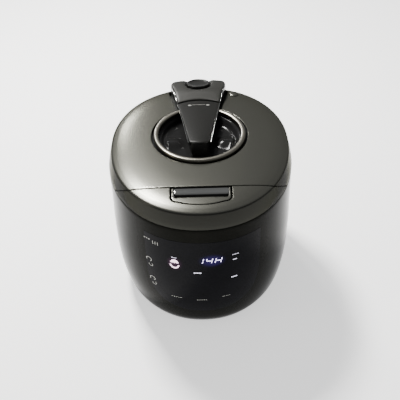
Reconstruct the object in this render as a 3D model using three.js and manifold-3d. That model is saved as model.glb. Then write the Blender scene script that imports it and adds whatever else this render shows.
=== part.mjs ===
// Electric pressure cooker with an induction-heated pot, a hinged lid and a turning lid handle.
// Millimetres, +Z up, front towards -Y. The origin is the middle of the bounding box's underside.
import * as THREE from 'three';
import { mergeVertices } from 'three/addons/utils/BufferGeometryUtils.js';
import Module from 'manifold-3d';

const wasm = await Module();
wasm.setup();

// ---------- driving dimensions ----------
const HALF_WIDTH = 131;          // body plan: half width
const FRONT_DEPTH = 161;         // body plan: axis to the front wall
const BACK_DEPTH = 145;          // body plan: axis to the rear wall
const PLAN_POWER = 2.12;         // superellipse exponent of the plan
const PLAN_STEPS = 44;           // segments round the plan
const ROUND_STEPS = 36;          // segments round the pot, the rings and the bowl
const SMALL_STEPS = 12;          // segments round small round pieces
const GAP = 0.3;                 // clearance between neighbours
const WALL = 3;                  // outer shell thickness

const FLOOR_GAP = 4;             // underside of the body above the floor
const RIM_Z = 202.6;             // top edge of the black body
const LID_BASE_Z = 203.2;        // bottom edge of the grey lid and fascia
const CREASE_Z = 227;            // edge between the lid's side band and its dome
const DOME_Z = 232.4;            // crown of the lid

const AXIS_Y = 9;                // centre of the pot, the lid ring and the handle pivot
const CHORD_Y = -104.5;          // split between fascia and lid, at its ends
const CHORD_SAG = 2.5;           // how far the split bows to the front in the middle
const CHORD_HALF = 106;          // half length of the split
const SPLIT_LEAN = 1.14;         // the split leans rearward this much per millimetre below the crease
const SPLIT_REACH = 60;          // the split runs this far above and below the crease

const HINGE_Y = 128;             // lid hinge axis
const HINGE_Z = 190;
const NOTCH_HALF = 46.8;         // rear notch for the lid hinge
const NOTCH_Z = 169.4;

const POT_RADIUS = 91;
const POT_BOTTOM_Z = 68;
const POT_RIM_Z = 200;
const LUG_COUNT = 6;
const LUG_ANGLE = THREE.MathUtils.degToRad(24);
const LUG_PITCH = 2 * Math.PI / LUG_COUNT;

const RING_OUTER = 66;           // silver ring round the bowl in the lid
const RING_INNER = 58.6;
const RING_TOP_Z = 236.3;
const RING_HOLE = 69.2;          // hole in the lid round the ring
const BOWL_FLOOR_Z = 219;
const FLANGE_Z = 228.4;          // top of the bowl's flange, under the lid

const HANDLE_TOP_Z = 240;
const HANDLE_UNDER_Z = 236.8;
const HANDLE_FRONT = -20;        // front end of the handle
const HANDLE_REACH = 76;         // pivot to the handle's rear edge
const CAP_FRONT = 77;            // pivot to the steam cap's front edge
const CAP_CREST_Y = 108;         // highest line across the steam cap
const CAP_CREST_Z = 245.4;
const WELL_Z = 223.8;            // floor under the steam cap
const CAP_FALL = 0.221;          // slope of the cap behind its crest
const DISC_Y = 126.5;            // middle of the round disc on the cap

const VENT_Y = 94;               // steam vent
const BUTTON_Y = -113.9;         // middle of the lid button
const BUTTON_FRONT = -119.2;
const BUTTON_BACK = -108.6;
const POCKET_FRONT = -126.4;     // front wall of the pocket round the button
const LATCH_X = -22;             // middle of the latch hook
const LATCH_PIN_Y = -113;
const LATCH_PIN_Z = 206.8;
const CATCH_Y = -104.8;          // catch in the lid's front wall
const FAN_X = -40;               // cooling fan
const FAN_Y = 24;
const PANEL_TOP_Z = 181;
const PANEL_BOTTOM_Z = 43;

// ---------- finishes ----------
const finish = (color, roughness, metalness) => ({ color, roughness, metalness });
const GREY = finish(0x77776f, 0.42, 0.55);
const BLACK = finish(0x0d0d0d, 0.12, 0);
const DARK = finish(0x232323, 0.5, 0);
const SATIN = finish(0x33332f, 0.4, 0.2);
const SILVER = finish(0xb9b4a6, 0.3, 1);
const CHROME = finish(0xd8d8d8, 0.12, 1);
const STEEL = finish(0xa8a8a6, 0.35, 1);
const ALUMINIUM = finish(0xb8babb, 0.4, 1);
const RUBBER = finish(0x2b2b2b, 0.85, 0);
const SILICONE = finish(0xc9c6bd, 0.7, 0);
const COPPER = finish(0xb06a3a, 0.4, 1);
const FERRITE = finish(0x3a3a3d, 0.8, 0);
const BOARD = finish(0x1f5a34, 0.6, 0);
const CREAM = finish(0xd8d3c4, 0.6, 0);

// ---------- solids ----------
function solid(geometry) {
  const g = geometry.clone();
  g.deleteAttribute('normal');
  g.deleteAttribute('uv');
  const merged = mergeVertices(g, 1e-4);
  const vertProperties = new Float32Array(merged.attributes.position.array);
  const triVerts = new Uint32Array(merged.index.array);
  if (signedVolume(vertProperties, triVerts) < 0) flip(triVerts);
  return new wasm.Manifold(new wasm.Mesh({ numProp: 3, vertProperties, triVerts }));
}

function signedVolume(p, t) {
  let volume = 0;
  const [a, b, c] = [new THREE.Vector3(), new THREE.Vector3(), new THREE.Vector3()];
  for (let i = 0; i < t.length; i += 3) {
    a.fromArray(p, 3 * t[i]);
    b.fromArray(p, 3 * t[i + 1]);
    c.fromArray(p, 3 * t[i + 2]);
    volume += a.dot(b.cross(c));
  }
  return volume;
}

function flip(t) {
  for (let i = 0; i < t.length; i += 3) [t[i + 1], t[i + 2]] = [t[i + 2], t[i + 1]];
}

function box(x0, x1, y0, y1, z0, z1) {
  const g = new THREE.BoxGeometry(x1 - x0, y1 - y0, z1 - z0);
  return solid(g.translate((x0 + x1) / 2, (y0 + y1) / 2, (z0 + z1) / 2));
}

// a solid moved and turned by a matrix
function moved(body, matrix) {
  const { vertProperties, triVerts } = body.getMesh();
  const point = new THREE.Vector3();
  const points = new Float32Array(vertProperties.length);
  for (let i = 0; i < points.length; i += 3) {
    point.fromArray(vertProperties, i).applyMatrix4(matrix).toArray(points, i);
  }
  return new wasm.Manifold(new wasm.Mesh({ numProp: 3, vertProperties: points, triVerts }));
}

const slide = (x, y, z) => new THREE.Matrix4().makeTranslation(x, y, z);
const turnX = (angle) => new THREE.Matrix4().makeRotationX(angle);
const turnY = (angle) => new THREE.Matrix4().makeRotationY(angle);
const turnZ = (angle) => new THREE.Matrix4().makeRotationZ(angle);
const { degToRad } = THREE.MathUtils;

// closed profile of [radius, z] points turned round a vertical axis
function revolve(profile, x = 0, y = AXIS_Y, steps = ROUND_STEPS) {
  const points = profile.map(([r, z]) => new THREE.Vector2(r, z));
  const closed = points[0].x > 0 || points[points.length - 1].x > 0;
  if (closed) points.push(points[0].clone());
  return solid(new THREE.LatheGeometry(points, steps).rotateX(Math.PI / 2).translate(x, y, 0));
}

const disc = (r, z0, z1, x, y, steps = SMALL_STEPS) =>
  revolve([[0, z0], [r, z0], [r, z1], [0, z1]], x, y, steps);

const tube = (inner, outer, z0, z1, x = 0, y = AXIS_Y, steps = ROUND_STEPS) =>
  revolve([[inner, z0], [outer, z0], [outer, z1], [inner, z1]], x, y, steps);

function rodX(r, x0, x1, y, z, steps = SMALL_STEPS) {
  const g = new THREE.CylinderGeometry(r, r, x1 - x0, steps).rotateZ(Math.PI / 2);
  return solid(g.translate((x0 + x1) / 2, y, z));
}

function outline(points) {
  return new THREE.Shape(points.map(([u, v]) => new THREE.Vector2(u, v)));
}

function prismZ(shape, z0, z1, curveSegments = 12) {
  const g = new THREE.ExtrudeGeometry(shape, { depth: z1 - z0, bevelEnabled: false, curveSegments });
  return solid(g.translate(0, 0, z0));
}

// shape in (x, z), extruded from y0 to y1
function prismY(shape, y0, y1, curveSegments = 12) {
  const g = new THREE.ExtrudeGeometry(shape, { depth: y1 - y0, bevelEnabled: false, curveSegments });
  return solid(g.rotateX(Math.PI / 2).translate(0, y1, 0));
}

// shape in (y, z), extruded from x0 to x1
function prismX(shape, x0, x1, curveSegments = 12) {
  const g = new THREE.ExtrudeGeometry(shape, { depth: x1 - x0, bevelEnabled: false, curveSegments });
  return solid(g.rotateX(Math.PI / 2).rotateZ(Math.PI / 2).translate(x0, 0, 0));
}

// closed loft through superellipse sections given as [z, inset]
function planLoft(sections, steps = PLAN_STEPS) {
  const positions = [];
  const power = 2 / PLAN_POWER;
  const bend = (v) => Math.sign(v) * Math.abs(v) ** power;
  for (const [z, inset] of sections) {
    for (let i = 0; i < steps; i++) {
      const a = 2 * Math.PI * i / steps;
      const depth = Math.sin(a) < 0 ? FRONT_DEPTH : BACK_DEPTH;
      positions.push((HALF_WIDTH - inset) * bend(Math.cos(a)), (depth - inset) * bend(Math.sin(a)), z);
    }
  }
  const low = positions.length / 3;
  positions.push(0, 0, sections[0][0], 0, 0, sections[sections.length - 1][0]);
  const index = [];
  for (let i = 0; i < steps; i++) {
    const j = (i + 1) % steps;
    for (let k = 0; k < sections.length - 1; k++) {
      const [a, b] = [k * steps + i, k * steps + j];
      index.push(a, b, b + steps, a, b + steps, a + steps);
    }
    const top = (sections.length - 1) * steps;
    index.push(low, j, i, low + 1, top + i, top + j);
  }
  const g = new THREE.BufferGeometry();
  g.setAttribute('position', new THREE.Float32BufferAttribute(positions, 3));
  g.setIndex(index);
  return solid(g);
}

const shift = (sections, inset, drop = 0) => sections.map(([z, i]) => [z - drop, i + inset]);
const union = (first, ...rest) => rest.reduce((whole, piece) => whole.add(piece), first);

// ---------- the assembly ----------
const cooker = new THREE.Group();

function place(name, manifold, look) {
  const m = manifold.getMesh();
  const g = new THREE.BufferGeometry();
  g.setAttribute('position', new THREE.Float32BufferAttribute(m.vertProperties, 3));
  g.setIndex(Array.from(m.triVerts));
  g.computeVertexNormals();
  const mesh = new THREE.Mesh(g, new THREE.MeshStandardMaterial(look));
  mesh.name = name;
  cooker.add(mesh);
}

// ---------- shared outlines ----------
const BODY_SECTIONS = [[FLOOR_GAP, 22], [10, 14.5], [26, 6.7], [60, 1.2], [105, -1], [160, 0], [RIM_Z, 0]];
const DOME_SECTIONS = [[LID_BASE_Z, 0], [CREASE_Z, 5.5], [228, 7.2], [229.5, 14], [231, 27], [232, 43],
  [DOME_Z, 60]];

// everything in front of (or behind) the split between fascia and lid, moved by an offset in y;
// below the crease the split leans to the rear
function chordRegion(front, offset, lean = 0) {
  const side = HALF_WIDTH + 20;
  const far = front ? -FRONT_DEPTH - 120 : BACK_DEPTH + 20;
  const shape = new THREE.Shape();
  const end = CHORD_Y + offset;
  const slope = 2 * CHORD_SAG * side * side / (CHORD_HALF * CHORD_HALF);
  shape.moveTo(-side, end - CHORD_SAG + slope / 2);
  shape.quadraticCurveTo(0, end - CHORD_SAG - slope / 2, side, end - CHORD_SAG + slope / 2);
  shape.lineTo(side, far);
  shape.lineTo(-side, far);
  const settings = { depth: 2 * SPLIT_REACH, steps: 2, bevelEnabled: false, curveSegments: 16 };
  const g = new THREE.ExtrudeGeometry(shape, settings).translate(0, 0, CREASE_Z - SPLIT_REACH);
  const points = g.attributes.position;
  for (let i = 0; i < points.count; i++) {
    points.setY(i, points.getY(i) + lean * Math.max(0, CREASE_Z - points.getZ(i)));
  }
  return solid(g);
}

function panelOutline(grow) {
  const shape = new THREE.Shape();
  const top = PANEL_TOP_Z + grow;
  const bottom = PANEL_BOTTOM_Z - grow;
  shape.moveTo(-78 - grow, top);
  shape.lineTo(78 + grow, top);
  shape.quadraticCurveTo(82 + grow, 110, 72 + grow, 66);
  shape.quadraticCurveTo(62 + grow, bottom + 3, 30, bottom + 1);
  shape.quadraticCurveTo(0, bottom, -30, bottom + 1);
  shape.quadraticCurveTo(-62 - grow, bottom + 3, -72 - grow, 66);
  shape.quadraticCurveTo(-82 - grow, 110, -78 - grow, top);
  return shape;
}

// rounded slot in the fascia that holds the lid button: straight sides, round corners, bowed front
function buttonSlot(grow) {
  const half = 40.8 + grow;
  const corner = 32 + grow;
  const front = -141.2 - grow;
  const bow = 6;
  const shape = new THREE.Shape();
  shape.moveTo(-half, -95);
  shape.lineTo(-half, -125);
  shape.quadraticCurveTo(-half, front + bow + 1, -corner, front + bow);
  shape.quadraticCurveTo(0, front - bow, corner, front + bow);
  shape.quadraticCurveTo(half, front + bow + 1, half, -125);
  shape.lineTo(half, -95);
  return shape;
}

// trapezium with straight sides that widens to the rear: [x at y0] .. [x at y1]
const taper = (x0, y0, x1, y1) => outline([[-x0, y0], [x0, y0], [x1, y1], [-x1, y1]]);

// ---------- body ----------
function outerBody() {
  const outer = planLoft(BODY_SECTIONS);
  const inner = planLoft(shift([[FLOOR_GAP - 2, 22], ...BODY_SECTIONS, [RIM_Z + 2, 0]], WALL));
  const recess = planLoft(shift([...BODY_SECTIONS], -2)).subtract(planLoft(shift(BODY_SECTIONS, 1.6)));
  let body = outer.subtract(inner);
  body = body.subtract(prismY(panelOutline(0.4), -175, -60).intersect(recess));
  body = body.subtract(box(-8, 32, -175, -120, 139, 157));
  body = body.subtract(box(-NOTCH_HALF, NOTCH_HALF, 100, 160, NOTCH_Z, RIM_Z + 5));
  body = body.subtract(box(-72, 72, 100, 160, 198, RIM_Z + 5));
  body = body.subtract(box(-15, 15, 100, 160, 28, 52));
  for (const side of [-1, 1]) {
    for (let i = 0; i < 4; i++) {
      const x = side * (36 + 10 * i);
      body = body.subtract(box(x - 1.8, x + 1.8, 90, 160, 62, 98));
    }
  }
  place('outer_body', body, BLACK);
}

function baseAndFeet() {
  let base = planLoft([[FLOOR_GAP, 25.8], [FLOOR_GAP + 3.5, 23.8]]);
  for (let i = 0; i < 8; i++) {
    const a = Math.PI * i / 4;
    base = base.subtract(disc(5, 0, 12, FAN_X + 20 * Math.cos(a), FAN_Y + 20 * Math.sin(a), 10));
  }
  place('base_cover', base, DARK);
  const feet = { front_left: [-64, -84], front_right: [64, -84], rear_left: [-64, 76], rear_right: [64, 76] };
  for (const [corner, [x, y]] of Object.entries(feet)) {
    const profile = [[0, 0], [10, 0], [12, 1.2], [12, FLOOR_GAP - GAP], [0, FLOOR_GAP - GAP]];
    place(`foot_${corner}`, revolve(profile, x, y, SMALL_STEPS), RUBBER);
  }
}

// thin grey shell of the lid and the fascia, before they are split
const topShell = () =>
  planLoft(DOME_SECTIONS).subtract(planLoft(shift([[LID_BASE_Z - 1, 0], ...DOME_SECTIONS], WALL, WALL)));

function frontFascia() {
  const shell = topShell();
  const slot = prismZ(buttonSlot(0), 150, 260);
  place('front_fascia', shell.intersect(chordRegion(true, -0.4, SPLIT_LEAN)).subtract(slot), GREY);
}

function topCollar() {
  let deck = planLoft([[198.8, 3.8], [201.8, 3.8]]);
  deck = deck.subtract(disc(107.2, 180, 210, 0, AXIS_Y, ROUND_STEPS));
  deck = deck.add(tube(107.2, 109.6, 187, 201.8));
  deck = deck.subtract(box(-NOTCH_HALF - 3, NOTCH_HALF + 3, 98, 160, 180, 210));
  place('top_collar', deck, DARK);
}

function cavityLiner() {
  const profile = [[80, 60], [97, 60], [97, 184], [105.4, 184], [105.4, 186], [97, 186], [97, 194.6],
    [94.5, 194.6], [94.5, 62], [80, 62]];
  place('cavity_liner', revolve(profile), ALUMINIUM);
}

function innerPot() {
  const r = POT_RADIUS;
  const t = 2.5;
  const z = POT_BOTTOM_Z;
  let pot = revolve([[0, z], [r - 22, z], [r - 10, z + 3], [r - 2, z + 12], [r, z + 22], [r, 195.6],
    [98, 195.6], [98, POT_RIM_Z], [r - t, POT_RIM_Z], [r - t, z + 22], [r - t - 2, z + 13], [r - t - 10, z + 5.5],
    [r - t - 20, z + t], [0, z + t]]);
  for (let i = 0; i < LUG_COUNT; i++) pot = pot.add(lug(i * LUG_PITCH, 97, 100.8, 195.6, 198.6));
  place('inner_pot', pot, ALUMINIUM);
}

// a short sector of a ring, centred on the pot axis
function lug(angle, r0, r1, z0, z1) {
  const shape = new THREE.Shape();
  const [a0, a1] = [angle - LUG_ANGLE / 2, angle + LUG_ANGLE / 2];
  shape.absarc(0, 0, r1, a0, a1, false);
  shape.absarc(0, 0, r0, a1, a0, true);
  return moved(prismZ(shape, z0, z1, 4), slide(0, AXIS_Y, 0));
}

// ---------- heating and electronics ----------
function heater() {
  place('coil_carrier', revolve([[17, 63], [93.8, 63], [93.8, 67], [17, 66]]), CREAM);
  const turns = [];
  for (let i = 0; i < 5; i++) turns.push([36 + 9 * i, 62.4], [40.5 + 9 * i, 61.2]);
  place('induction_coil', revolve([[30, 56], [79, 56], [79, 61.2], ...turns.reverse(), [30, 61.2]]), COPPER);
  for (let i = 0; i < 6; i++) {
    const turned = slide(0, AXIS_Y, 0).multiply(turnZ(degToRad(30 + 60 * i)));
    const bar = moved(box(32, 78, -6, 6, 50, 55.6), turned);
    place(`ferrite_bar_${i + 1}`, bar, FERRITE);
  }
  place('temperature_sensor', union(disc(14, 64, 67.6, 0, AXIS_Y), disc(6, 46, 64.5, 0, AXIS_Y)), ALUMINIUM);
  place('sensor_spring', coilSleeve(7, 10.5, 44, 63.6, 0, AXIS_Y, 4), STEEL);
}

// a compression spring as one ribbed sleeve
function coilSleeve(inner, outer, z0, z1, x, y, turns) {
  const profile = [[inner, z0]];
  const pitch = (z1 - z0) / turns;
  for (let i = 0; i < turns; i++) {
    profile.push([outer, z0 + pitch * (i + 0.35)], [outer - 1.2, z0 + pitch * (i + 0.9)]);
  }
  profile.push([inner, z1]);
  return revolve(profile, x, y, SMALL_STEPS);
}

function fan() {
  const [x, y] = [FAN_X, FAN_Y];
  let frame = box(x - 36, x + 36, y - 36, y + 36, 10, 32).subtract(disc(33, 5, 40, x, y, 32));
  frame = frame.add(box(x - 34, x + 34, y - 2, y + 2, 10, 12)).add(disc(10, 10, 13, x, y));
  place('fan_frame', frame, DARK);
  let rotor = disc(12, 13.6, 29, x, y);
  for (let i = 0; i < 7; i++) {
    const turned = slide(x, y, 21.5).multiply(turnZ(2 * Math.PI * i / 7)).multiply(turnX(degToRad(32)));
    rotor = rotor.add(moved(box(10, 31.5, -0.8, 0.8, -6, 6), turned));
  }
  place('fan_rotor', rotor, DARK);
}

function electronics() {
  let board = box(10, 86, -70, 70, 14, 15.6);
  for (const [x, y, w, h] of [[70, -50, 12, 20], [70, -20, 12, 14], [30, -50, 16, 22], [30, -20, 8, 12]]) {
    board = board.add(box(x - w / 2, x + w / 2, y - w / 2, y + w / 2, 15.5, 15.6 + h));
  }
  for (const [x, y] of [[14, -66], [82, -66], [14, 66], [82, 66]]) {
    board = board.add(disc(3, 7.8, 14.1, x, y, 12));
  }
  place('power_board', board, BOARD);
  let sink = box(22, 74, 14, 62, 16, 19);
  for (let i = 0; i < 7; i++) sink = sink.add(box(22 + 8 * i, 24.5 + 8 * i, 14, 62, 18.9, 42));
  place('heat_sink', sink, ALUMINIUM);
  let control = box(-62, 62, -134, -132.4, 62, 172);
  control = control.add(box(-20, 20, -132.5, -122, 90, 104)).add(box(30, 50, -132.5, -126, 120, 140));
  place('control_board', control, BOARD);
  place('display_module', box(-7, 31, -150, -134.4, 140, 156), DARK);
  let inlet = box(-14.6, 14.6, 118, 143, 28.4, 51.6).subtract(box(-11.5, 11.5, 128, 150, 32, 48));
  for (const x of [-6, 0, 6]) inlet = inlet.add(box(x - 1, x + 1, 127, 135, 38, 42));
  place('power_inlet', inlet, DARK);
}

// ---------- front panel and lid button ----------
function controlPanel() {
  const skin = planLoft(BODY_SECTIONS).subtract(planLoft(shift(BODY_SECTIONS, 1.3)));
  place('control_panel', prismY(panelOutline(0), -175, -60).intersect(skin), BLACK);
}

function lidButton() {
  let bezel = prismZ(buttonSlot(-1), 206, 226).intersect(chordRegion(true, -1.6));
  bezel = bezel.intersect(planLoft(shift(DOME_SECTIONS, 0, 1.2)));
  bezel = bezel.subtract(box(-36.6, 36.6, POCKET_FRONT, -90, 200, 240));
  bezel = bezel.subtract(prismZ(buttonSlot(-4), 200, 223));
  bezel = bezel.add(box(-38.5, 38.5, POCKET_FRONT - 0.4, BUTTON_BACK - 0.2, 206, 208));
  bezel = bezel.subtract(box(-2.4, 2.4, BUTTON_Y - 2.4, BUTTON_Y + 2.4, 200, 212));
  const hookRoom = box(LATCH_X - 9, LATCH_X + 9, LATCH_PIN_Y - 5, -100, 200, 222);
  place('button_bezel', bezel.subtract(hookRoom), DARK);
  let button = box(-35.6, 35.6, BUTTON_FRONT, BUTTON_BACK, 220, 231);
  button = button.subtract(box(-34, 34, BUTTON_FRONT + 1.4, BUTTON_BACK - 1.4, 219, 227));
  button = button.add(disc(1.8, 207.5, 228, 0, BUTTON_Y, 12));
  place('lid_button', button, CHROME);
  place('button_spring', coilSleeve(2.1, 3.5, 208.4, 226.6, 0, BUTTON_Y, 5), STEEL);
}

function latch() {
  const [y, z] = [LATCH_PIN_Y, LATCH_PIN_Z];
  const profile = outline([[y - 3, z - 4.4], [y + 2.5, z - 4.4], [y + 3, z + 2], [y + 4.6, z + 5],
    [y + 5.4, z + 5], [y + 5.4, z + 8], [y + 1.4, z + 8], [y - 1.5, z + 3]]);
  const hook = prismX(profile, LATCH_X - 6, LATCH_X + 6).subtract(rodX(2.1, LATCH_X - 9, LATCH_X + 9, y, z));
  place('latch_hook', hook, STEEL);
  place('hook_pin', rodX(1.8, LATCH_X - 9, LATCH_X + 9, y, z, 14), STEEL);
}

// ---------- lid ----------
function lidCover() {
  let cover = topShell().intersect(chordRegion(false, 0.4, SPLIT_LEAN));
  cover = cover.subtract(disc(RING_HOLE, 218, 250, 0, AXIS_Y, ROUND_STEPS));
  cover = cover.subtract(prismZ(taper(31.5, 60, 46.4, 128), 220, 250));
  place('lid_cover', cover, GREY);
}

function capWell() {
  let well = prismZ(taper(35.5, 62, 49, 126), WELL_Z - 2.2, WELL_Z);
  well = well.intersect(planLoft(shift(DOME_SECTIONS, WALL + 0.6, WALL + 0.6)));
  well = well.subtract(disc(74, 218, 230, 0, AXIS_Y, ROUND_STEPS)).subtract(disc(7, 218, 230, 0, VENT_Y));
  place('cap_well', well, SATIN);
}

function lidBowlAndRing() {
  const z = BOWL_FLOOR_Z;
  place('lid_bowl', revolve([[12, z - 2.5], [49, z - 2.5], [56, z + 1], [59.2, FLANGE_Z - 2],
    [72, FLANGE_Z - 2], [72, FLANGE_Z], [56.4, FLANGE_Z], [54.5, z + 4], [48, z], [12, z]]), BLACK);
  place('lid_ring', revolve([[RING_INNER, FLANGE_Z + GAP], [RING_OUTER, FLANGE_Z + GAP],
    [RING_OUTER, RING_TOP_Z - 2.4], [RING_OUTER - 2, RING_TOP_Z], [RING_INNER + 1.4, RING_TOP_Z],
    [RING_INNER, RING_TOP_Z - 1.6]]), SILVER);
}

function lidInnerPlate() {
  let plate = planLoft([[203.6, 4.3], [210.8, 6]]).subtract(planLoft([[202, 7.4], [208.3, 7.4]]));
  plate = plate.intersect(chordRegion(false, 1.4));
  const rim = planLoft([[200, -2], [215, -2]]).subtract(planLoft([[199, 10], [216, 10]]));
  plate = plate.subtract(rim.intersect(chordRegion(true, 1.4, SPLIT_LEAN)));
  const wall = chordRegion(false, 1.4).subtract(chordRegion(false, 3.6));
  plate = plate.add(wall.intersect(planLoft([[203.6, 10.2], [222.5, 10.2]])));
  plate = plate.subtract(box(LATCH_X - 13, LATCH_X + 13, CATCH_Y - 4, CATCH_Y + 1.2, 209.1, 216.6));
  plate = plate.subtract(disc(12, 190, 215, 0, AXIS_Y)).subtract(disc(6, 190, 215, 0, VENT_Y));
  plate = plate.subtract(box(-40, 40, 118, 160, 190, 208.2));
  for (const a of [-2.618, -0.5236]) {
    plate = plate.add(disc(5, 202.5, 209, 70 * Math.cos(a), AXIS_Y + 70 * Math.sin(a)));
  }
  place('lid_inner_plate', plate, DARK);
}

function pressureCover() {
  let cover = revolve([[0, 201.2], [90.4, 201.2], [90.4, 204.3], [98, 204.3], [98, 205.2], [89.4, 205.2],
    [89.4, 202.2], [0, 202.2]]);
  cover = cover.subtract(disc(3, 190, 215, 0, VENT_Y));
  place('inner_cover', cover, STEEL);
  place('gasket', revolve([[90.8, 200.3], [97, 200.3], [97.6, 202], [97.6, 204], [90.8, 204]]), SILICONE);
  place('vent_pipe', tube(1.8, 3.2, 202.5, 233, 0, VENT_Y, SMALL_STEPS), STEEL);
  place('pressure_weight', revolve([[3.8, 226], [5.5, 226], [5.5, 234], [4, 235.2], [0, 235.2], [0, 233.4],
    [3.8, 233.4]], 0, VENT_Y, SMALL_STEPS), STEEL);
}

// ---------- hinge ----------
function hinge() {
  const sector = (r0, r1, a0, a1) => {
    const shape = new THREE.Shape();
    shape.absarc(0, 0, r1, a0, a1, false);
    shape.absarc(0, 0, r0, a1, a0, true);
    return shape;
  };
  const around = (shape, x0, x1) => moved(prismX(shape, x0, x1, 14), slide(0, HINGE_Y, HINGE_Z));
  let barrel = around(sector(17.6, 20.4, -0.62, 0.62), -37.6, 37.6);
  for (const side of [-1, 1]) {
    const [x0, x1] = side < 0 ? [-37.6, -13] : [13, 37.6];
    barrel = barrel.add(around(sector(3.4, 10, 0, 2 * Math.PI), x0, x1));
    barrel = barrel.add(box(x0, x1, HINGE_Y + 8, HINGE_Y + 19, HINGE_Z - 3, HINGE_Z + 3));
    barrel = barrel.add(box(x0, x1, HINGE_Y - 6, HINGE_Y + 6, HINGE_Z + 6, 208));
  }
  place('hinge_cover', barrel, BLACK);
  place('hinge_pin', rodX(3, -46, 46, HINGE_Y, HINGE_Z, SMALL_STEPS), STEEL);
  for (const [name, x0, x1] of [['left', -45.6, -38.4], ['right', 38.4, 45.6]]) {
    let bracket = around(sector(0, 10, 0, 2 * Math.PI), x0, x1);
    bracket = bracket.add(box(x0, x1, 119.4, 128, 150, HINGE_Z));
    bracket = bracket.subtract(rodX(3.3, -50, 50, HINGE_Y, HINGE_Z));
    place(`hinge_bracket_${name}`, bracket, STEEL);
  }
  const lying = slide(0, HINGE_Y, HINGE_Z).multiply(turnY(Math.PI / 2));
  place('hinge_spring', moved(coilSleeve(3.6, 6.6, -12, 12, 0, 0, 5), lying), STEEL);
}

// ---------- turning handle and lock ring ----------
function handle() {
  const reach = (r) => disc(r, 200, 260, 0, AXIS_Y, 64);
  const plate = prismZ(taper(14.4, HANDLE_FRONT, 31.95, 88), HANDLE_UNDER_Z, HANDLE_TOP_Z);
  const web = outline([[-27, 221.3], [46, 221.3], [50, HANDLE_UNDER_Z + 0.2],
    [HANDLE_FRONT, HANDLE_UNDER_Z + 0.2], [HANDLE_FRONT - 4, HANDLE_UNDER_Z - 1.4]]);
  place('lid_handle', plate.intersect(reach(HANDLE_REACH)).add(prismX(web, -12.6, 12.6)), SATIN);
  for (const [name, side] of [['left', -1], ['right', 1]]) {
    const line = outline([[side * 14.95, -19], [side * 16.05, -19], [side * 31.8, 78], [side * 30.7, 78]]);
    const strip = prismZ(line, HANDLE_UNDER_Z + 0.4, HANDLE_TOP_Z + 0.4).intersect(reach(HANDLE_REACH - 0.4));
    place(`handle_trim_${name}`, strip, CHROME);
  }
  place('handle_shaft', disc(10, 205.6, 221, 0, AXIS_Y, ROUND_STEPS), STEEL);
}

function lockRing() {
  const skirt = tube(101.6, 104, 189.6, 207.4);
  let ring = union(skirt, tube(96, 104, 205.6, 207.4), tube(10.4, 17, 205.6, 207.4));
  for (const degrees of [30, 150, 270]) {
    const turned = slide(0, AXIS_Y, 0).multiply(turnZ(degToRad(degrees)));
    ring = ring.add(moved(box(15, 98, -8, 8, 205.6, 207.4), turned));
  }
  for (let i = 0; i < LUG_COUNT; i++) ring = ring.add(lug((i + 0.5) * LUG_PITCH, 98.9, 102.5, 189.6, 192.6));
  place('lock_ring', ring, STEEL);
}

// ---------- steam cap ----------
function steamCap() {
  const pivotDisc = (r) => disc(r, 200, 260, 0, AXIS_Y, 64);
  const plan = (grow) => {
    const shape = new THREE.Shape();
    shape.moveTo(-28 - grow, 66);
    shape.lineTo(28 + grow, 66);
    shape.lineTo(42.4 + grow, 125);
    shape.quadraticCurveTo(43.4 + grow, 135 + grow, 36, 137 + grow);
    shape.quadraticCurveTo(0, 147 + grow, -36, 137 + grow);
    shape.quadraticCurveTo(-43.4 - grow, 135 + grow, -42.4 - grow, 125);
    return shape;
  };
  const crown = (drop) => {
    const front = [[60, 220], [60, CAP_CREST_Z - 5.6 - drop], [88, CAP_CREST_Z - 4.8 - drop],
      [CAP_CREST_Y, CAP_CREST_Z - drop]];
    const middle = [...front, [150, CAP_CREST_Z - drop - CAP_FALL * (150 - CAP_CREST_Y)], [150, 220]];
    const sides = [...front, [119, CAP_CREST_Z - drop], [150, CAP_CREST_Z - drop - 4], [150, 220]];
    const shoulders = prismX(outline(sides), -60, -27).add(prismX(outline(sides), 27, 60));
    return prismX(outline(middle), -60, 60).add(shoulders);
  };
  const channel = prismZ(taper(30, 60, 44.6, 126.6), 218, 250);
  const lidTop = planLoft(shift(DOME_SECTIONS, -0.4, -0.4)).subtract(channel);
  const whole = prismZ(plan(0), WELL_Z + 0.6, 250).intersect(crown(0)).subtract(pivotDisc(CAP_FRONT));
  const room = prismZ(plan(-2), 218, 250).intersect(crown(2)).subtract(pivotDisc(CAP_FRONT + 2));
  const knob = revolve([[0, 0], [18.4, 0], [18.4, 1.4], [16, 2.8], [0, 3.4]], 0, 0, 32);
  const discZ = CAP_CREST_Z - CAP_FALL * (DISC_Y - CAP_CREST_Y) + 0.4;
  const tilted = slide(0, DISC_Y, discZ).multiply(turnX(-Math.atan(CAP_FALL)));
  place('steam_cap', whole.subtract(lidTop).subtract(room), SATIN);
  place('steam_cap_disc', moved(knob, tilted), SATIN);
}

function smallLidPieces() {
  const bump = revolve([[0, 224], [8, 224], [8, 230.6], [6, 232.2], [0, 232.8]], 54, 113, SMALL_STEPS);
  place('exhaust_cap', bump.subtract(planLoft(shift(DOME_SECTIONS, -GAP, -GAP))), GREY);
  place('lid_catch', box(LATCH_X - 12, LATCH_X + 12, CATCH_Y - 0.8, CATCH_Y + 0.8, 209.4, 216.2), STEEL);
}

// ---------- dew collector ----------
function dewCollector() {
  const clear = planLoft(shift(BODY_SECTIONS, -0.8));
  let cup = box(-42, 42, 120, 162, 122, 167).subtract(clear);
  cup = cup.subtract(box(-39.5, 39.5, 110, 159.5, 124.5, 170).subtract(planLoft(shift(BODY_SECTIONS, -3.3))));
  place('dew_collector', cup, finish(0x2c2c2c, 0.3, 0));
}

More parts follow.
